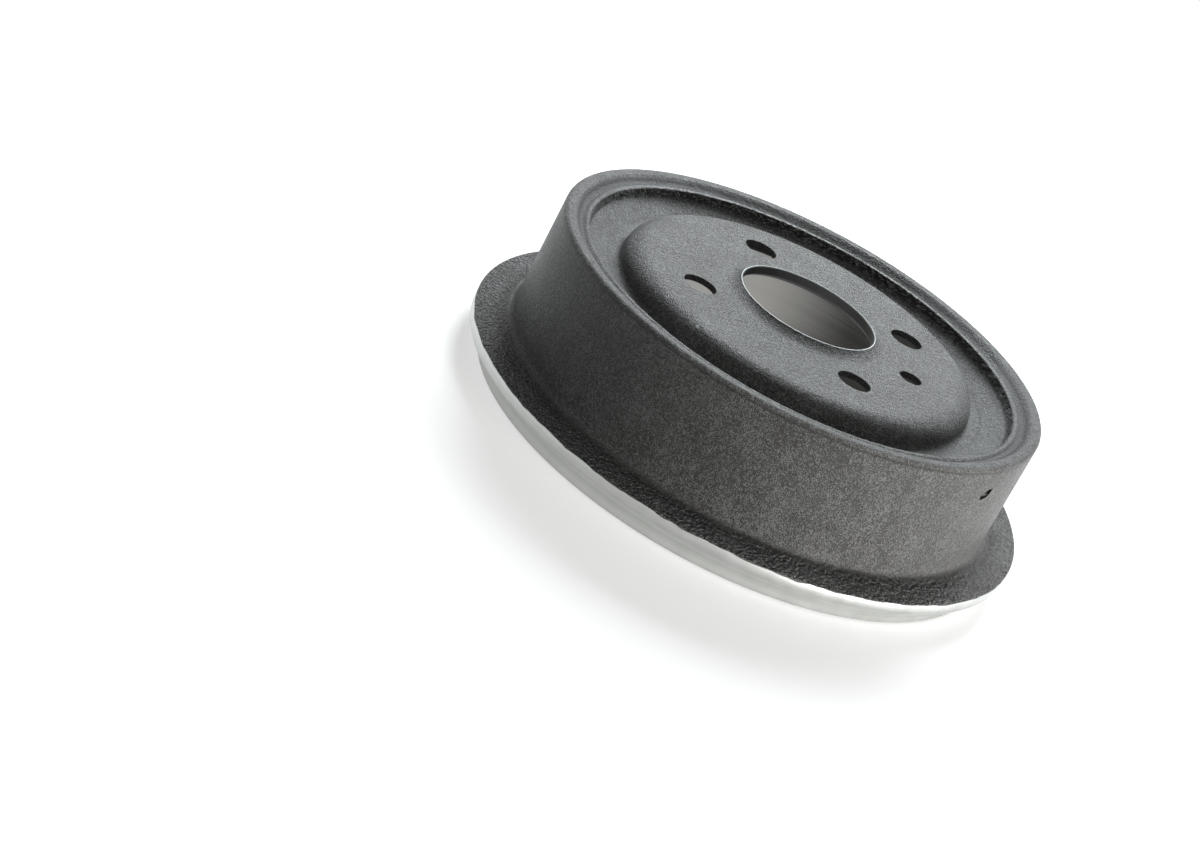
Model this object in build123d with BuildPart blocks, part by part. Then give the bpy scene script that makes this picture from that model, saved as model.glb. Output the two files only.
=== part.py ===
from build123d import *
import os

# Brake drum for a two-shoe drum brake, modelled as the finished casting stands on
# a bench: mouth down on its inner ring, hub face up. The origin is the centre of
# the mouth plane, +Z runs along the drum's axis towards the hub, and +X passes
# through one of the wheel bolt holes. Sizes in mm; each radius or height below
# that isn't named at the top follows from the ones that are.

# Friction surface and ring wall
friction_diameter = 200.0
friction_length = 53.7
lead_in_width = 1.05
lead_in_length = 1.35
run_out_chamfer = 3.0
wall_thickness = 5.05
wall_draft = 0.65

# Labyrinth mouth: two concentric rings with a groove between them
inner_ring_width = 3.5
groove_width = 5.9
groove_depth = 8.65
groove_taper = 1.1
outer_ring_width = 2.95
outer_ring_setback = 0.3

# Flange round the mouth
flange_overhang = 7.4
flange_setback = 10.15
flange_thickness = 5.0
flange_edge = 0.4
wall_root_chamfer = 3.0
wall_root_break = 1.6

# Rim at the hub end of the ring, stepping down to the hat
rim_rise = 0.95
rim_width = 4.15
rim_shoulder_chamfer = 1.7
rim_shoulder_break = 0.9
step_width = 2.6
step_depth = 1.6
slope_width = 2.5
slope_depth = 0.65
lip_width = 2.5
lip_height = 4.1
lip_undercut = 0.8
plate_overlap = 3.0

# Hat: hub face, dome side and sloping annulus of one thickness
hub_height = 65.45
dome_diameter = 151.2
dome_depth = 10.05
dome_flare = 1.4
dome_edge_radius = 8.0
dome_inner_chamfer = 3.0
foot_width = 5.2
foot_rise = 0.9
plate_thickness = 2.7
seat_margin = 6.4
seat_cut = 0.2

# Centre bore and its raised collar
bore_diameter = 58.0
collar_height = 2.6
collar_wall = 0.8
collar_foot_width = 5.35
collar_chamfer = 0.35
bore_back_chamfer = 1.5

# Holes in the hub face
bolt_circle_diameter = 100.0
bolt_hole_diameter = 14.0
bolt_hole_count = 4
screw_circle_diameter = 98.0
screw_hole_diameter = 9.7
hole_back_chamfer = 0.5

# Radii that follow, from the axis outwards
bore_radius = bore_diameter / 2
collar_foot = bore_radius + collar_wall + collar_foot_width
dome_radius = dome_diameter / 2
dome_foot = dome_radius + dome_flare
seat_radius = dome_radius - plate_thickness - seat_margin
annulus_inner = dome_foot + foot_width
friction_radius = friction_diameter / 2
wall_radius = friction_radius + wall_thickness
wall_foot = wall_radius + wall_draft
rim_inner = wall_radius - rim_width
step_foot = rim_inner - step_width
slope_foot = step_foot - slope_width
lip_radius = slope_foot - lip_width
annulus_outer = lip_radius - lip_undercut
groove_inner = friction_radius + inner_ring_width
groove_outer = groove_inner + groove_width
outer_ring_inner = groove_outer + groove_taper
outer_ring_outer = outer_ring_inner + outer_ring_width
flange_radius = outer_ring_outer + flange_overhang

# Heights that follow, from the mouth plane upwards
flange_top = flange_setback + flange_thickness
rim_height = hub_height + rim_rise
step_foot_height = rim_height - step_depth
lip_top = step_foot_height - slope_depth
annulus_outer_height = lip_top - lip_height
foot_height = hub_height - dome_depth
annulus_inner_height = foot_height + foot_rise
collar_top = hub_height + collar_height
plate_back = hub_height - plate_thickness
seat_height = plate_back + seat_cut
annulus_slope = (annulus_outer_height - annulus_inner_height) / (annulus_outer - annulus_inner)
plate_end = annulus_outer + plate_overlap
plate_end_height = annulus_outer_height + plate_overlap * annulus_slope


def corner(sketch, radius, height):
    """The section's vertex at this radius and height."""
    return sketch.vertices().sort_by_distance((radius, height))[0]


with BuildPart() as brake_drum:
    # Ring: mouth, flange, wall and rim as one turned section
    with BuildSketch(Plane.XZ) as ring_section:
        with BuildLine():
            mouth = Polyline(
                (friction_radius, friction_length),
                (friction_radius, lead_in_length),
                (friction_radius + lead_in_width, 0),
                (groove_inner, 0),
                (groove_inner, groove_depth),
                (groove_outer, groove_depth),
                (outer_ring_inner, outer_ring_setback),
                (outer_ring_outer, outer_ring_setback),
                (outer_ring_outer, flange_setback),
            )
            flange = Polyline(
                mouth @ 1,
                (flange_radius, flange_setback),
                (flange_radius, flange_top),
                (wall_foot, flange_top),
            )
            rim = Polyline(
                flange @ 1,
                (wall_radius, rim_height),
                (rim_inner, rim_height),
                (step_foot, step_foot_height),
                (slope_foot, lip_top),
                (lip_radius, lip_top),
                (annulus_outer, annulus_outer_height),
            )
            Polyline(
                rim @ 1,
                (annulus_outer, annulus_outer_height - plate_thickness / 2),
                (friction_radius - run_out_chamfer, friction_length + run_out_chamfer),
                mouth @ 0,
            )
        make_face()
        chamfer(corner(ring_section, flange_radius, flange_setback), flange_edge)
        # The root and the shoulder of the wall are rounded in three flats each
        chamfer(corner(ring_section, wall_foot, flange_top), wall_root_chamfer)
        root_corners = ring_section.vertices().sort_by_distance((wall_foot, flange_top))[0:2]
        chamfer(root_corners, wall_root_break)
        chamfer(corner(ring_section, wall_radius, rim_height), rim_shoulder_chamfer)
        shoulder_corners = ring_section.vertices().sort_by_distance((wall_radius, rim_height))[0:2]
        chamfer(shoulder_corners, rim_shoulder_break)
    revolve(axis=Axis.Z)

    # Hat: its outer line, with the inner line parallel to it at the plate's thickness
    with BuildSketch(Plane.XZ) as hat_section:
        with BuildLine():
            outside = Polyline(
                ((bore_radius + collar_foot) / 2, hub_height),
                (dome_radius, hub_height),
                (dome_foot, foot_height),
                (annulus_inner, annulus_inner_height),
                (plate_end, plate_end_height),
            )
            offset(outside, amount=plate_thickness, side=Side.RIGHT, kind=Kind.INTERSECTION)
        make_face()
        fillet(corner(hat_section, dome_radius, hub_height), dome_edge_radius)
        chamfer(corner(hat_section, dome_radius - plate_thickness, plate_back), dome_inner_chamfer)
    revolve(axis=Axis.Z)

    # Turned seat on the back of the hub plate
    with BuildSketch(Plane.XY.offset(plate_back)):
        Circle(seat_radius)
    extrude(amount=seat_cut, mode=Mode.SUBTRACT)

    # Collar round the bore, flowing out of the hub face
    with BuildSketch(Plane.XZ) as collar_section:
        with BuildLine():
            lip_line = Polyline(
                (bore_radius, seat_height),
                (bore_radius, collar_top),
                (bore_radius + collar_wall, collar_top),
            )
            flow = TangentArc(
                (collar_foot, hub_height),
                lip_line @ 1,
                tangent=(-1, 0),
            )
            Polyline(
                flow @ 0,
                (collar_foot, seat_height),
                lip_line @ 0,
            )
        make_face()
        chamfer(corner(collar_section, bore_radius, collar_top), collar_chamfer)
        chamfer(corner(collar_section, bore_radius, seat_height), bore_back_chamfer)
    revolve(axis=Axis.Z)

    # Wheel bolt holes, and the hole for the screw that holds the drum on the hub
    with PolarLocations(bolt_circle_diameter / 2, bolt_hole_count):
        Hole(bolt_hole_diameter / 2)
    with PolarLocations(screw_circle_diameter / 2, 1, start_angle=-180 / bolt_hole_count):
        Hole(screw_hole_diameter / 2)
    hole_radii = (bolt_hole_diameter / 2, screw_hole_diameter / 2)
    hole_rims = brake_drum.edges().filter_by(GeomType.CIRCLE).filter_by(
        lambda edge: min(abs(edge.radius - radius) for radius in hole_radii) < 0.01
    )
    chamfer(hole_rims.group_by(Axis.Z)[0], hole_back_chamfer)

brake_drum.part.label = "brake_drum"

os.makedirs("parts", exist_ok=True)
export_step(brake_drum.part, "parts/brake_drum.step")
print("brake_drum volume", round(brake_drum.part.volume), "size", brake_drum.part.bounding_box().size)
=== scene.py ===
import math

import bmesh
import bpy
from bpy.props import FloatProperty, FloatVectorProperty, IntProperty, PointerProperty
from mathutils import Matrix, Vector, noise


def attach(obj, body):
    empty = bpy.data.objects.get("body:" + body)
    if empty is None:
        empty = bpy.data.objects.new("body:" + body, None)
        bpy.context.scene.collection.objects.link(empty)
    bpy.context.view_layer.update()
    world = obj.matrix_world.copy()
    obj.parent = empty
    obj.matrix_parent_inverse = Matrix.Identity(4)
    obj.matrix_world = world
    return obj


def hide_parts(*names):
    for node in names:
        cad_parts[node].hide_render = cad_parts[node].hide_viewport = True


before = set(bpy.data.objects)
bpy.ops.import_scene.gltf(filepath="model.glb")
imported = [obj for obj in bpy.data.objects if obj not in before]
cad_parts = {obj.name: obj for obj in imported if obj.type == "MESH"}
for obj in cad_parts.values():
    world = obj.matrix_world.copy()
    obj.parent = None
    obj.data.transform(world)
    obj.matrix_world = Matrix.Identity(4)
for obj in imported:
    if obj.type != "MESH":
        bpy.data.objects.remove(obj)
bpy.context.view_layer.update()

bl_info = {
    "name": "Brake drum",
    "version": (1, 0, 0),
    "blender": (4, 5, 0),
    "location": "3D View > Sidebar > Brake drum",
    "description": "Turns, drills and finishes a cast brake drum, and sets it on a plain stage",
    "category": "Object",
}

MM = 0.001
WHITE = (1.0, 1.0, 1.0, 1.0)

# Small flaws of the casting
CHIP_PLACE = (-64.4 * MM, -34.2 * MM, 64.0 * MM)
CHIP_RADIUS = 1.1 * MM
PIT_ANGLE = math.radians(-63.4)
PIT_HEIGHT = 54.4 * MM
PIT_TILT = math.radians(33)
PIT_HALF_SIZE = (1.9 * MM, 3.6 * MM, 2.0 * MM)
HOLE_WANDER = 0.30 * MM

# Edges that bend more than this are drawn sharp
SHARP_ANGLE = math.radians(28)

# Stage: where the lamps look, and the ring of floor over which the shadow fades to white
LAMP_AIM = Vector((0, 0, 31 * MM))
FLOOR_DROP = 0.4 * MM
FADE_START = 0.50
FADE_END = 0.90


# ---------------------------------------------------------------- settings

class DrumSizes(bpy.types.PropertyGroup):
    """Sizes of the casting."""
    friction_diameter: FloatProperty(
        name="Friction diameter", description="Diameter the shoes rub on", default=0.2, unit="LENGTH")
    friction_length: FloatProperty(
        name="Friction length", description="Mouth plane to the end of the friction surface",
        default=0.0537, unit="LENGTH")
    wall: FloatProperty(
        name="Wall", description="Ring wall at the hub end", default=0.00505, unit="LENGTH")
    wall_draft: FloatProperty(
        name="Wall draft", description="Extra radius of the wall at the flange",
        default=0.00065, unit="LENGTH")
    flange_setback: FloatProperty(
        name="Flange setback", description="Mouth plane to the flange", default=0.01015, unit="LENGTH")
    flange_thickness: FloatProperty(
        name="Flange thickness", description="Thickness of the flange", default=0.005, unit="LENGTH")
    flange_overhang: FloatProperty(
        name="Flange overhang", description="How far the flange stands out past the outer ring",
        default=0.0074, unit="LENGTH")
    hub_height: FloatProperty(
        name="Hub height", description="Mouth plane to the hub face", default=0.06545, unit="LENGTH")
    plate: FloatProperty(
        name="Hub plate", description="Thickness of the hub plate", default=0.0027, unit="LENGTH")
    dome_diameter: FloatProperty(
        name="Dome diameter", description="Diameter of the dome at the hub face",
        default=0.1512, unit="LENGTH")
    dome_depth: FloatProperty(
        name="Dome depth", description="Hub face to the foot of the dome", default=0.01005, unit="LENGTH")
    bore_diameter: FloatProperty(
        name="Bore diameter", description="Diameter of the centre bore", default=0.058, unit="LENGTH")
    collar_height: FloatProperty(
        name="Collar height", description="Height of the collar round the bore",
        default=0.0026, unit="LENGTH")
    bolt_circle: FloatProperty(
        name="Bolt circle", description="Diameter of the circle of wheel bolt holes",
        default=0.1, unit="LENGTH")
    bolt_hole: FloatProperty(
        name="Bolt hole", description="Diameter of a wheel bolt hole", default=0.014, unit="LENGTH")
    bolt_count: IntProperty(
        name="Bolt holes", description="Number of wheel bolt holes", default=4, min=3, max=8)
    screw_radius: FloatProperty(
        name="Screw hole radius", description="Axis to the centre of the screw hole",
        default=0.049, unit="LENGTH")
    screw_hole: FloatProperty(
        name="Screw hole", description="Diameter of the screw hole", default=0.0097, unit="LENGTH")
    turns: IntProperty(
        name="Steps", description="Steps round the axis", default=432, min=64, max=720)


class DrumFinish(bpy.types.PropertyGroup):
    """Colours and surface of the casting."""
    paint: FloatVectorProperty(
        name="Paint", description="Black paint on the cast skin", subtype="COLOR",
        size=3, default=(0.032, 0.031, 0.030), min=0.0, max=1.0)
    paint_worn: FloatVectorProperty(
        name="Thin paint", description="Paint where the grains stand through", subtype="COLOR",
        size=3, default=(0.180, 0.184, 0.184), min=0.0, max=1.0)
    iron: FloatVectorProperty(
        name="Turned iron", description="Freshly turned iron", subtype="COLOR",
        size=3, default=(0.52, 0.53, 0.515), min=0.0, max=1.0)
    friction: FloatVectorProperty(
        name="Friction surface", description="Brushed friction surface", subtype="COLOR",
        size=3, default=(0.36, 0.355, 0.34), min=0.0, max=1.0)
    # Raw black; the cast skin also uses it as the colour of its painted shade
    soot_and_shade: FloatVectorProperty(
        name="Raw corner", description="Unpainted black corner under the lip", subtype="COLOR",
        size=3, default=(0.013, 0.012, 0.011), min=0.0, max=1.0)
    grain: FloatProperty(
        name="Grain", description="Size of a grain of the cast skin", default=0.00048, unit="LENGTH")
    grain_depth: FloatProperty(
        name="Grain depth", description="Depth of the cast skin", default=0.0016, unit="LENGTH")


class Section:
    """Radii and heights of the turned section, worked out from the drum's sizes."""
    lead_in_width = 1.05 * MM
    lead_in_length = 1.35 * MM
    inner_ring_width = 3.5 * MM
    groove_width = 5.9 * MM
    groove_depth = 8.65 * MM
    groove_taper = 1.1 * MM
    outer_ring_width = 2.95 * MM
    outer_ring_setback = 0.3 * MM
    rim_rise = 0.95 * MM
    rim_width = 4.15 * MM
    step_width = 2.6 * MM
    step_depth = 2.0 * MM
    slope_width = 2.5 * MM
    lip_width = 2.5 * MM
    lip_drop = 2.25 * MM
    lip_height = 4.1 * MM
    lip_undercut = 0.8 * MM
    dome_flare = 1.4 * MM
    crease_width = 5.2 * MM
    crease_rise = 0.9 * MM
    collar_width = 0.75 * MM
    collar_root = 2.84 * MM
    bore_break = 0.35 * MM
    bore_chamfer = 1.5 * MM
    seat_cut = 0.2 * MM
    seat_margin = 6.4 * MM
    run_out = 3.0 * MM

    def __init__(self, s):
        self.friction = s.friction_diameter / 2
        self.friction_end = s.friction_length

        # Mouth and flange
        self.groove_in = self.friction + self.inner_ring_width
        self.groove_out = self.groove_in + self.groove_width
        self.ring_in = self.groove_out + self.groove_taper
        self.ring_out = self.ring_in + self.outer_ring_width
        self.flange = self.ring_out + s.flange_overhang
        self.flange_low = s.flange_setback
        self.flange_top = s.flange_setback + s.flange_thickness

        # Wall, rim and lip
        self.wall = self.friction + s.wall
        self.wall_foot = self.wall + s.wall_draft
        self.rim = s.hub_height + self.rim_rise
        self.rim_in = self.wall - self.rim_width
        self.step = self.rim_in - self.step_width
        self.slope = self.step - self.slope_width
        self.lip = self.slope - self.lip_width
        self.lip_top = self.rim - self.lip_drop

        # Hat, from the corner under the lip to the collar
        self.hat_edge = self.lip - self.lip_undercut
        self.hat_edge_z = self.lip_top - self.lip_height
        self.hub = s.hub_height
        self.dome = s.dome_diameter / 2
        self.dome_foot = self.dome + self.dome_flare
        self.dome_foot_z = s.hub_height - s.dome_depth
        self.crease = self.dome_foot + self.crease_width
        self.crease_z = self.dome_foot_z + self.crease_rise
        self.bore = s.bore_diameter / 2
        self.collar_top = s.hub_height + s.collar_height

        # Back of the hat
        self.plate = s.plate
        self.back = s.hub_height - s.plate
        self.seat_z = self.back + self.seat_cut
        self.seat = self.dome - s.plate - self.seat_margin


# ---------------------------------------------------------------- shader maths

class Signal:
    """A shader socket that can be reckoned with; each operation adds its Math node."""

    def __init__(self, bench, socket):
        self.bench = bench
        self.socket = socket

    def __add__(self, other):
        return self.bench.math("ADD", self, other)

    def __radd__(self, other):
        return self.bench.math("ADD", other, self)

    def __sub__(self, other):
        return self.bench.math("SUBTRACT", self, other)

    def __rsub__(self, other):
        return self.bench.math("SUBTRACT", other, self)

    def __mul__(self, other):
        return self.bench.math("MULTIPLY", self, other)

    def __rmul__(self, other):
        return self.bench.math("MULTIPLY", other, self)

    def __truediv__(self, other):
        return self.bench.math("DIVIDE", self, other)

    def __rtruediv__(self, other):
        return self.bench.math("DIVIDE", other, self)

    def other(self, name):
        """Another output of the same node."""
        return Signal(self.bench, self.socket.node.outputs[name])


class Bench:
    """Builds the nodes of one material or of the room."""

    def __init__(self, owner):
        self.owner = owner
        owner.use_nodes = True
        self.tree = owner.node_tree
        self.tree.nodes.clear()

    def node(self, kind, settings=None, values=None, out=0):
        """A node of this kind with its settings, and the values or links of its sockets."""
        made = self.tree.nodes.new(kind)
        for key, value in (settings or {}).items():
            setattr(made, key, value)
        for key, value in (values or {}).items():
            socket = made.inputs[key]
            if isinstance(value, Signal):
                self.tree.links.new(value.socket, socket)
            else:
                socket.default_value = value
        return None if out is None else Signal(self, made.outputs[out])

    def math(self, operation, first, second=0.0):
        return self.node("ShaderNodeMath", {"operation": operation}, {0: first, 1: second})

    def rise(self, signal, low, high):
        """0 below low, 1 above high and smooth between them."""
        return self.node(
            "ShaderNodeMapRange", {"interpolation_type": "SMOOTHSTEP"},
            {"Value": signal, "From Min": low, "From Max": high})

    def band(self, signal, start, full, fade, end):
        """0 before start, 1 from full to fade and 0 again after end."""
        return self.rise(signal, start, full) * (1 - self.rise(signal, fade, end))

    def near(self, signal, value, width):
        """1 where the signal has this value, falling to 0 at the width."""
        return 1 - self.rise(self.math("ABSOLUTE", signal - value), 0.0, width)

    def blend(self, factor, first, second):
        """The first colour where factor is 0, the second where it is 1."""
        def colour(c):
            return c if isinstance(c, Signal) else (*c, 1.0)
        return self.node(
            "ShaderNodeMix", {"data_type": "RGBA"}, {0: factor, 6: colour(first), 7: colour(second)}, 2)

    def grains(self, size, detail=2.0, roughness=0.5):
        return self.node(
            "ShaderNodeTexNoise", None,
            {"Vector": self.place, "Scale": 1.0 / size, "Detail": detail, "Roughness": roughness})

    def cells(self, size):
        """Distance to the nearest of scattered points, counted in their mean spacing, which is size."""
        return self.node("ShaderNodeTexVoronoi", None, {"Vector": self.place, "Scale": 1.0 / size})

    def measure(self):
        """Object coordinates, and from them radius, height and direction round the axis."""
        self.place = self.node("ShaderNodeTexCoord", out="Object")
        x = self.node("ShaderNodeSeparateXYZ", None, {0: self.place}, "X")
        y, z = x.other("Y"), x.other("Z")
        self.radius = self.math("SQRT", x * x + y * y)
        self.height = z
        self.across = x / self.radius
        self.along = y / self.radius

    def away(self, place):
        """Distance from this place."""
        return self.node("ShaderNodeVectorMath", {"operation": "DISTANCE"}, {0: self.place, 1: place}, 1)

    def turning(self, pitch, wander=0.6):
        """Noise that is drawn out round the axis, as a cutting tool leaves it."""
        vector = self.node(
            "ShaderNodeCombineXYZ", None,
            {0: self.radius / pitch + self.across * wander,
             1: self.height / pitch + self.along * wander,
             2: self.across * (wander * 0.7)})
        return self.node(
            "ShaderNodeTexNoise", None,
            {"Vector": vector, "Scale": 1.0, "Detail": 2.0, "Roughness": 0.6})

    def bump(self, height, distance):
        return self.node("ShaderNodeBump", None, {"Height": height, "Distance": distance, "Strength": 1.0})

    def glow(self, strength):
        """A white that gives this much light."""
        return self.node("ShaderNodeEmission", None, {"Color": WHITE, "Strength": strength})

    def matt(self, grey):
        """A matt surface of this grey."""
        return self.node("ShaderNodeBsdfDiffuse", None, {"Color": (grey, grey, grey, 1.0)})

    def mix(self, factor, first, second):
        """The first shader where factor is 0, the second where it is 1."""
        return self.node("ShaderNodeMixShader", None, {0: factor, 1: first, 2: second})

    def finish(self, **values):
        """A Principled surface; single numbers are set on its own sockets."""
        named = {key.replace("_", " "): value for key, value in values.items()}
        shader = self.node("ShaderNodeBsdfPrincipled", None, named)
        self.output(shader)
        return self.owner

    def output(self, shader, kind="ShaderNodeOutputMaterial"):
        self.node(kind, None, {"Surface": shader}, None)

    def seen(self):
        """1 for what looks, mirrors or sees through, 0 for light that is scattered."""
        camera = self.node("ShaderNodeLightPath", out="Is Camera Ray")
        mirrored = self.math("MAXIMUM", camera, camera.other("Is Glossy Ray"))
        return self.math("MAXIMUM", mirrored, camera.other("Is Transmission Ray"))


# ---------------------------------------------------------------- finishes

def shaded(colour, shade):
    """The colour, darkened or lightened by this factor."""
    return tuple(c * shade for c in colour)


def cast_skin(name, finish, d, shade=1.0):
    """Sand-cast skin under a thin coat of black paint: finer on the wall, coarse on the flange."""
    b = Bench(bpy.data.materials.new(name))
    b.measure()
    fine = b.grains(finish.grain, 2.0, 0.6)
    coarse = b.grains(finish.grain * 3.4, 2.0, 0.5)
    patches = b.grains(13.0 * MM, 3.0, 0.55)
    clots = b.grains(2.1 * MM, 3.0, 0.65)

    # Parts of the casting
    wall = b.band(
        b.radius, d.wall - 2.05 * MM, d.wall - 0.55 * MM, d.wall_foot + 0.8 * MM, d.wall_foot + 2.8 * MM)
    flange = b.rise(b.radius, d.wall_foot + 0.5 * MM, d.wall_foot + 4.3 * MM)
    fillet = b.band(
        b.radius, d.wall_foot + 0.1 * MM, d.wall_foot + 0.9 * MM,
        d.wall_foot + 4.8 * MM, d.wall_foot + 6.8 * MM)
    hub_end = b.rise(b.height, d.dome_foot_z - 5.4 * MM, d.dome_foot_z - 3.4 * MM)

    # Painted shade, darkening the slope inside the rim, the crease round the dome and the edge of the rim
    # Painted shade over the step and the slope inside the rim
    step = b.band(
        b.radius, d.slope - 0.3 * MM, d.slope + 0.1 * MM, d.step + 0.9 * MM, d.step + 1.6 * MM)
    step = step * 0.8 + b.near(b.radius, d.step + 0.1 * MM, 0.8 * MM)
    # Painted shade along the crease round the dome
    foot = b.near(b.radius, d.crease + 0.2 * MM, 1.2 * MM) * 0.45
    # Painted shade in a band under the edge of the rim, ragged with the clots
    rim_shade = b.near(b.height + clots * (0.8 * MM), d.rim - 1.4 * MM, 0.9 * MM)
    rim_shade = rim_shade * b.rise(b.radius, d.wall - 1.55 * MM, d.wall - 1.05 * MM)
    # The three bands of painted shade together
    painted_shade = (step * (0.75 + clots * 0.4) + foot) * hub_end + rim_shade * 0.8
    ragged = b.near(b.radius, d.lip - 0.2 * MM, 1.1 * MM) * b.rise(clots, 0.46, 0.54) * hub_end
    # Black of the raw ragged lip, with the painted shade added to it
    soot_and_shade = b.math("MINIMUM", painted_shade * 0.9 + ragged, 1.0)

    # Bare and thin places, and a painted highlight along the crest of the lip
    # Painted highlight: a paler band along the crest of the lip, broken by the clots
    ridge_highlight = b.near(b.radius, d.lip + 1.1 * MM, 0.9 * MM) * (1 - b.rise(clots, 0.58, 0.64)) * hub_end
    chip = b.near(b.away(CHIP_PLACE), 0.0, CHIP_RADIUS)
    flecks = b.near(b.cells(10.0 * MM), 0.0, 0.05) * b.rise(patches, 0.52, 0.58)
    bare = b.math("MINIMUM", chip * 1.5 + flecks * 0.5, 0.8)
    dust_and_shade = b.rise(fine * 0.8 + coarse * 0.2 + (patches - 0.5) * 0.15, 0.46, 0.60)
    # Fewer thin places on the wall; fewer on the fillet at the flange's root, which is painted shade
    dust_and_shade = dust_and_shade * (1 - wall * 0.3) * (1 - fillet * 0.55)
    # Thin places together with the painted highlight on the lip's crest
    pale_and_highlight = b.math("MINIMUM", dust_and_shade + ridge_highlight * 0.35, 1.0)

    # The raw black colour, laid over the ragged lip and the painted shade
    colour = b.blend(soot_and_shade, shaded(finish.paint, shade), finish.soot_and_shade)
    # Thin paint over the grains, and the painted highlight, except where there is black
    colour = b.blend(pale_and_highlight * (1 - soot_and_shade), colour, shaded(finish.paint_worn, shade))
    colour = b.blend(bare, colour, shaded(finish.iron, shade))
    bumps = flange * (1 - b.cells(1.5 * MM))
    relief = fine * (0.95 - wall * 0.6)
    relief = relief + coarse * (0.45 - wall * 0.32 + patches * 0.4 + flange * 0.6)
    relief = relief + clots * (ragged * 2.0 + wall * 0.12) + bumps * 1.5
    return b.finish(
        Base_Color=colour, Roughness=0.40 + dust_and_shade * 0.08 - flange * 0.14, Metallic=0.0,
        Normal=b.bump(relief, finish.grain_depth), Specular_IOR_Level=0.20)


def turned_iron(name, colour, pitch, roughness, depth, dark=0.8, lap=None):
    """Bare iron with tool marks; paint laps over it above a height and outside a radius."""
    b = Bench(bpy.data.materials.new(name))
    b.measure()
    marks = b.turning(pitch)
    broad = b.turning(pitch * 9.0, 0.4)
    mottle = b.grains(6.0 * MM, 3.0)
    tone = b.rise(marks * 0.5 + broad * 0.35 + mottle * 0.15, 0.32, 0.68)
    tint = b.blend(tone, shaded(colour, dark), colour)
    rough = roughness + (mottle - 0.5) * 0.12
    metal = 1.0
    if lap:
        height, radius, paint = lap
        wave = (b.grains(11.0 * MM) - 0.5) * (2.6 * MM)
        over = b.rise(b.height + wave, height, height + 0.15 * MM)
        over = over * b.rise(b.radius, radius, radius + 0.5 * MM)
        tint = b.blend(over, tint, paint)
        rough = rough + over * 0.2
        metal = 1 - over
    return b.finish(Base_Color=tint, Metallic=metal, Roughness=rough, Normal=b.bump(marks, depth))


def rubbed_iron(name, finish):
    """The friction surface: finely brushed round the axis, with painted light and shade: its colour is
    lighter on one side of the axis and darker on the other.
    """
    b = Bench(bpy.data.materials.new(name))
    b.measure()
    marks = b.turning(0.16 * MM, 0.5)
    streaks = b.turning(0.45 * MM, 0.5)
    # Painted light and shade: lightest towards one side of the axis and darkest towards the other, streaks
    # blurring the change
    lit_side = b.along * 0.62 - b.across * 0.78
    painted_sheen = b.rise(lit_side + (streaks - 0.5) * 0.05, -0.20, 0.36)
    # Mostly the painted light and shade, with a little of the brush marks
    tone = painted_sheen * 0.92 + b.rise(marks * 0.6 + streaks * 0.4, 0.3, 0.7) * 0.08
    colour = b.blend(tone, shaded(finish.friction, 0.14), shaded(finish.friction, 1.9))
    return b.finish(
        Base_Color=colour, Metallic=1.0, Roughness=0.34 + (marks - 0.5) * 0.1,
        Normal=b.bump(marks, 0.01 * MM))


def raw_corner(name, finish):
    """Black, sooty casting that no paint or tool has reached, lumpy, with glints painted in as pale glossy
    dots.
    """
    b = Bench(bpy.data.materials.new(name))
    b.measure()
    lumps = b.grains(1.8 * MM, 4.0, 0.7)
    clumps = b.cells(2.4 * MM)
    # Painted glints: pale, glossier dots in the colour
    glint_specks = b.rise(b.turning(0.8 * MM, 48.0), 0.50, 0.64)
    colour = b.blend(glint_specks, finish.soot_and_shade, finish.paint_worn)
    return b.finish(
        Base_Color=colour, Metallic=0.0, Roughness=0.42 - glint_specks * 0.15,
        Normal=b.bump(lumps - clumps * 0.6, 2.2 * MM), Specular_IOR_Level=0.14)


SKIN, BRIGHT, RUBBED, RAW, BACK, SEAT, BORE, EDGE = range(8)


def make_finishes(finish, d):
    """The materials, in the order of the numbers above."""
    lap = (d.flange_top - 0.65 * MM, d.flange - 2.85 * MM, finish.paint)
    return (
        cast_skin("cast_skin", finish, d),
        turned_iron("turned_iron", finish.iron, 0.35 * MM, 0.38, 0.03 * MM, 0.72, lap),
        rubbed_iron("friction_surface", finish),
        raw_corner("raw_corner", finish),
        # A darker copy of the cast skin for the back of the hat and the hole walls: painted shade
        cast_skin("shaded_inside_paint", finish, d, 0.35),
        # The turned seat gets a dark iron colour, a painted reflection of the dark inside of the drum
        turned_iron("hub_seat", (0.12, 0.12, 0.12), 0.5 * MM, 0.45, 0.03 * MM),
        turned_iron("bore_wall", (0.10, 0.10, 0.10), 0.4 * MM, 0.42, 0.03 * MM),
        turned_iron("bore_edge", (0.10, 0.105, 0.105), 0.4 * MM, 0.5, 0.03 * MM),
    )


# ---------------------------------------------------------------- casting

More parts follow.
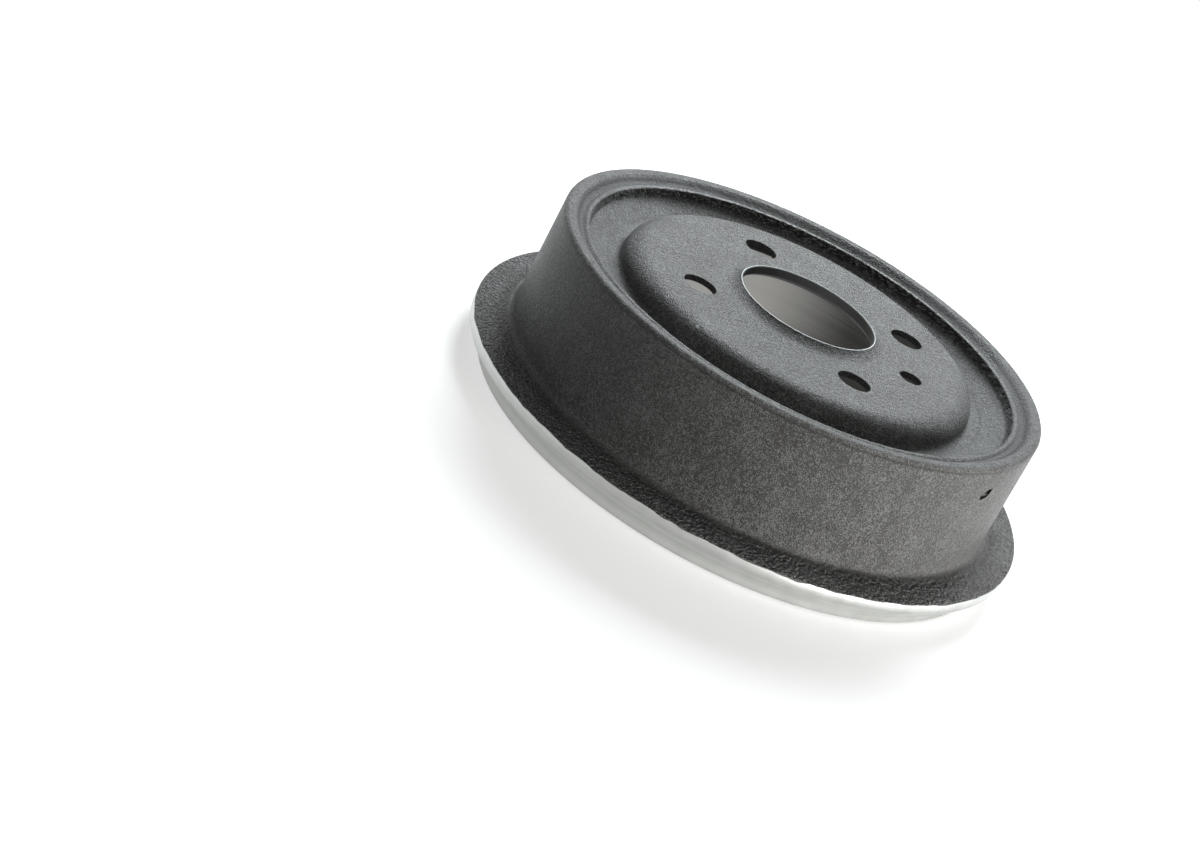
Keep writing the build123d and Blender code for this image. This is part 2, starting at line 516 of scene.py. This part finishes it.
def section_corners(d):
    """Corners of the turned section: radius, height, rounding and the finish that starts there."""
    return [
        # Mouth, with its two rings and the groove between them
        (d.friction, d.lead_in_length, 0, BRIGHT),
        (d.friction + d.lead_in_width, 0, 0, BRIGHT),
        (d.groove_in, 0, 0.25 * MM, BRIGHT),
        (d.groove_in, d.groove_depth, 0.4 * MM, BRIGHT),
        (d.groove_out, d.groove_depth, 0.4 * MM, BRIGHT),
        (d.ring_in, d.outer_ring_setback, 0.2 * MM, BRIGHT),
        (d.ring_out, d.outer_ring_setback, 0.3 * MM, BRIGHT),
        # Flange and wall
        (d.ring_out, d.flange_low, 0.9 * MM, BRIGHT),
        (d.flange, d.flange_low, 0.3 * MM, BRIGHT),
        (d.flange, d.flange_top, 0.35 * MM, SKIN),
        (d.wall_foot, d.flange_top, 5.0 * MM, SKIN),
        # Rim, stepping down over a slope to the lip
        (d.wall, d.rim, 1.3 * MM, SKIN),
        (d.rim_in - 0.5 * MM, d.rim - 0.1 * MM, 0.6 * MM, SKIN),
        (d.step, d.rim - d.step_depth, 0.3 * MM, SKIN),
        (d.slope + 0.3 * MM, d.lip_top - 0.75 * MM, 0.2 * MM, SKIN),
        (d.lip + 1.4 * MM, d.lip_top + 0.2 * MM, 0.6 * MM, SKIN),
        (d.lip, d.lip_top - 0.15 * MM, 0.4 * MM, RAW),
        # Hat, from the corner under the lip to the collar
        (d.hat_edge, d.hat_edge_z, 1.2 * MM, SKIN),
        (d.crease, d.crease_z, 0.3 * MM, SKIN),
        (d.dome_foot, d.dome_foot_z, 1.6 * MM, SKIN),
        (d.dome, d.hub, 7.2 * MM, SKIN),
        (d.bore + d.collar_root, d.hub, 3.2 * MM, SKIN),
        (d.bore + d.collar_width, d.collar_top, 0.15 * MM, EDGE),
        (d.bore + d.bore_break, d.collar_top, 0, EDGE),
        (d.bore, d.collar_top - d.bore_break, 0, BORE),
        (d.bore, d.seat_z + d.bore_chamfer, 0, EDGE),
        # Back of the hat
        (d.bore + d.bore_chamfer, d.seat_z, 0, SEAT),
        (d.seat, d.seat_z, 0, SEAT),
        # The back of the hat takes the darker copy of the paint, painted shade
        (d.seat, d.back, 0, BACK),
        (d.dome - d.plate, d.back, 4.6 * MM, BACK),
        (d.dome_foot - d.plate * 0.9, d.dome_foot_z - d.plate, 4.0 * MM, BACK),
        (d.crease + 0.4 * MM, d.crease_z - d.plate, 1.0 * MM, BACK),
        (d.hat_edge + 1.9 * MM, d.hat_edge_z - 2.2 * MM, 0.6 * MM, BACK),
        # Inside of the ring
        (d.friction - d.run_out, d.friction_end + d.run_out, 0.4 * MM, BRIGHT),
        (d.friction, d.friction_end, 0, RUBBED),
    ]


def ring_edges(bm, radius, height):
    """Edges of the circle at this radius and height."""
    slack = 0.02 * MM

    def on_ring(v):
        return abs(v.co.z - height) < slack and abs(v.co.xy.length - radius) < slack
    return [e for e in bm.edges if on_ring(e.verts[0]) and on_ring(e.verts[1])]


def rounding_steps(rounding):
    """More steps round a larger corner."""
    if rounding < 1 * MM:
        return 3
    return 6 if rounding < 3 * MM else 9


def turn_section(d, turns):
    """The section spun round the axis, its corners rounded and its faces given their finish."""
    corners = section_corners(d)
    bm = bmesh.new()
    verts = [bm.verts.new((r, 0, z)) for r, z, _, _ in corners]
    edges = [bm.edges.new((verts[i - 1], verts[i])) for i in range(len(verts))]
    bmesh.ops.spin(
        bm, geom=verts + edges, cent=(0, 0, 0), axis=(0, 0, 1), dvec=(0, 0, 0),
        angle=math.tau, steps=turns, use_merge=True)
    bmesh.ops.recalc_face_normals(bm, faces=bm.faces)

    def corner_of(v):
        r = v.co.xy.length
        return min(range(len(corners)), key=lambda i: abs(corners[i][0] - r) + abs(corners[i][1] - v.co.z))

    last = len(corners) - 1
    for face in bm.faces:
        ends = {corner_of(v) for v in face.verts}
        first = last if ends == {0, last} else min(ends)
        face.material_index = corners[first][3]
    for radius, height, rounding, _ in corners:
        if rounding:
            ring = ring_edges(bm, radius, height)
            meeting = {face.material_index for edge in ring for face in edge.link_faces}
            made = bmesh.ops.bevel(
                bm, geom=ring, offset=rounding, affect="EDGES", segments=rounding_steps(rounding),
                profile=0.5, material=-1, clamp_overlap=True)
            for face in made["faces"]:
                face.material_index = SKIN if SKIN in meeting else max(meeting)
    return bm


def cut_away(piece, bm):
    """Takes the shape in bm out of the piece."""
    bmesh.ops.recalc_face_normals(bm, faces=bm.faces)
    mesh = bpy.data.meshes.new("cutter")
    bm.to_mesh(mesh)
    bm.free()
    for material in piece.data.materials:
        mesh.materials.append(material)
    cutter = bpy.data.objects.new("cutter", mesh)
    bpy.context.scene.collection.objects.link(cutter)
    cut = piece.modifiers.new("cut", "BOOLEAN")
    cut.operation = "DIFFERENCE"
    cut.solver = "EXACT"
    cut.object = cutter
    graph = bpy.context.evaluated_depsgraph_get()
    left = bpy.data.meshes.new_from_object(piece.evaluated_get(graph))
    piece.modifiers.clear()
    old = piece.data
    piece.data = left
    bpy.data.meshes.remove(old)
    bpy.data.objects.remove(cutter)
    bpy.data.meshes.remove(mesh)


def add_drill(bm, reach, angle, radius, bottom, top):
    """A drill this far from the axis, whose wall wanders a little at the top."""
    x, y = reach * math.cos(angle), reach * math.sin(angle)
    middle = (top + bottom) / 2
    made = bmesh.ops.create_cone(
        bm, cap_ends=True, segments=96, radius1=radius, radius2=radius, depth=top - bottom,
        matrix=Matrix.Translation((x, y, middle)))
    for v in made["verts"]:
        if v.co.z > middle:
            out = Vector((v.co.x - x, v.co.y - y, 0)).normalized()
            v.co += out * noise.noise(Vector((v.co.x, v.co.y, 7.0)) * 900) * HOLE_WANDER


def drills(s):
    """A drill for each wheel bolt hole, and one for the screw hole midway between two of them."""
    bm = bmesh.new()
    low = s.hub_height - s.plate - 2 * MM
    high = s.hub_height + 4 * MM
    for k in range(s.bolt_count):
        add_drill(bm, s.bolt_circle / 2, math.tau * k / s.bolt_count, s.bolt_hole / 2, low, high)
    add_drill(bm, s.screw_radius, -math.pi / s.bolt_count, s.screw_hole / 2, low, high)
    # The hole walls take the darker copy of the paint, painted shade inside the holes
    for face in bm.faces:
        face.material_index = BACK
    return bm


def pit_shape(radius):
    """A long shallow blow hole at this radius in the ring wall, lying slantwise."""
    bm = bmesh.new()
    bmesh.ops.create_icosphere(bm, subdivisions=4, radius=1.0)
    for v in bm.verts:
        v.co *= 1 + 0.3 * noise.noise(v.co * 1.9 + Vector((8, 2, 5)))
    # Its inside takes the raw black finish, painted shade in the pit
    for face in bm.faces:
        face.material_index = RAW
    place = (
        Matrix.Rotation(PIT_ANGLE, 4, "Z") @ Matrix.Translation((radius, 0, PIT_HEIGHT))
        @ Matrix.Rotation(PIT_TILT, 4, "X") @ Matrix.Diagonal((*PIT_HALF_SIZE, 1)))
    bmesh.ops.transform(bm, matrix=place, verts=bm.verts)
    return bm


class DRUM_OT_casting(bpy.types.Operator):
    """Turn the casting, drill it and give each of its surfaces a finish"""
    bl_idname = "drum.casting"
    bl_label = "Casting"

    def execute(self, context):
        s = context.scene.drum_sizes
        d = Section(s)
        bm = turn_section(d, s.turns)
        mesh = bpy.data.meshes.new("drum_casting")
        bm.to_mesh(mesh)
        bm.free()
        piece = bpy.data.objects.new("drum_casting", mesh)
        context.scene.collection.objects.link(piece)
        for material in make_finishes(context.scene.drum_finish, d):
            mesh.materials.append(material)
        cut_away(piece, drills(s))
        cut_away(piece, pit_shape(d.wall + 0.1 * MM))
        mesh = piece.data
        mesh.name = "drum_casting"
        mesh.shade_smooth()
        mesh.set_sharp_from_angle(angle=SHARP_ANGLE)
        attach(piece, "root")
        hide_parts("brake_drum")
        return {"FINISHED"}


# ---------------------------------------------------------------- stage

def plain_floor():
    """Floor that keeps the drum's shadow and, further out, is plain white to the camera."""
    b = Bench(bpy.data.materials.new("floor_white"))
    b.measure()
    bright = b.node("ShaderNodeAddShader", None, {0: b.matt(0.62), 1: b.glow(0.55)})
    near = b.mix(b.seen(), b.matt(0.25), bright)
    far = b.rise(b.radius, FADE_START, FADE_END) * b.node("ShaderNodeLightPath", out="Is Camera Ray")
    b.output(b.mix(far, near, b.glow(1.0)))
    return b.owner


def white_room():
    """A room that is white to look at and gives the drum only a little light."""
    world = bpy.data.worlds.new("room")
    b = Bench(world)
    light = b.node("ShaderNodeBackground", None, {"Color": WHITE, "Strength": 0.06})
    wall = b.node("ShaderNodeBackground", None, {"Color": WHITE, "Strength": 1.0})
    b.output(b.mix(b.seen(), light, wall), "ShaderNodeOutputWorld")
    return world


def soft_light(name, place, size, power, colour):
    """A softbox, so wide and so high, that looks at the middle of the drum."""
    lamp = bpy.data.lights.new(name, "AREA")
    lamp.shape = "RECTANGLE"
    lamp.size, lamp.size_y = size
    lamp.energy = power
    lamp.color = colour
    held = bpy.data.objects.new(name, lamp)
    held.location = place
    held.rotation_euler = (Vector(place) - LAMP_AIM).to_track_quat("Z", "Y").to_euler()
    bpy.context.scene.collection.objects.link(held)


def add_floor(context):
    bm = bmesh.new()
    bmesh.ops.create_grid(bm, x_segments=1, y_segments=1, size=6.0)
    mesh = bpy.data.meshes.new("floor")
    bm.to_mesh(mesh)
    bm.free()
    mesh.materials.append(plain_floor())
    floor = bpy.data.objects.new("floor", mesh)
    floor.location.z = -FLOOR_DROP
    context.scene.collection.objects.link(floor)


def add_camera(context):
    data = bpy.data.cameras.new("camera")
    data.lens = 75.0
    data.sensor_width = 36.0
    data.sensor_fit = "HORIZONTAL"
    data.clip_start = 0.05
    data.clip_end = 30.0
    camera = bpy.data.objects.new("camera", data)
    place = Vector((-0.53708105, -0.76336236, 0.40770896))
    right = Vector((0.85430515, -0.30585565, 0.42025591))
    up = Vector((-0.196045, 0.55921274, 0.80551069))
    back = Vector((-0.48138245, -0.770541, 0.41777686))
    turn = Matrix((right, up, back)).transposed().to_4x4()
    camera.matrix_world = Matrix.Translation(place) @ turn
    context.scene.collection.objects.link(camera)
    context.scene.camera = camera


class DRUM_OT_stage(bpy.types.Operator):
    """Lay the floor, hang the lamps and set the camera"""
    bl_idname = "drum.stage"
    bl_label = "Stage"

    def execute(self, context):
        add_floor(context)
        soft_light("back_softbox", (0.46, 0.68, 0.69), (0.6, 0.6), 25, (0.94, 1.0, 1.02))
        soft_light("low_strip", (0.38, -0.56, 0.031), (1.0, 0.055), 9.4, (1.0, 0.985, 0.955))
        soft_light("fill_softbox", (-0.10, -1.0, 0.68), (0.9, 0.9), 4.0, (1.0, 0.97, 0.93))
        context.scene.world = white_room()
        add_camera(context)
        context.scene.view_settings.view_transform = "Standard"
        return {"FINISHED"}


class DRUM_PT_panel(bpy.types.Panel):
    """Sizes, finish and steps of the drum"""
    bl_idname = "DRUM_PT_panel"
    bl_label = "Brake drum"
    bl_space_type = "VIEW_3D"
    bl_region_type = "UI"
    bl_category = "Brake drum"

    def draw(self, context):
        for group in (context.scene.drum_sizes, context.scene.drum_finish):
            box = self.layout.box()
            for key in group.__annotations__:
                box.prop(group, key)
        self.layout.operator(DRUM_OT_casting.bl_idname)
        self.layout.operator(DRUM_OT_stage.bl_idname)


CLASSES = (DrumSizes, DrumFinish, DRUM_OT_casting, DRUM_OT_stage, DRUM_PT_panel)


def register():
    for cls in CLASSES:
        bpy.utils.register_class(cls)
    bpy.types.Scene.drum_sizes = PointerProperty(type=DrumSizes)
    bpy.types.Scene.drum_finish = PointerProperty(type=DrumFinish)


def unregister():
    del bpy.types.Scene.drum_finish
    del bpy.types.Scene.drum_sizes
    for cls in reversed(CLASSES):
        bpy.utils.unregister_class(cls)


def main():
    register()
    bpy.ops.drum.casting()
    bpy.ops.drum.stage()


if __name__ == "__main__":
    main()
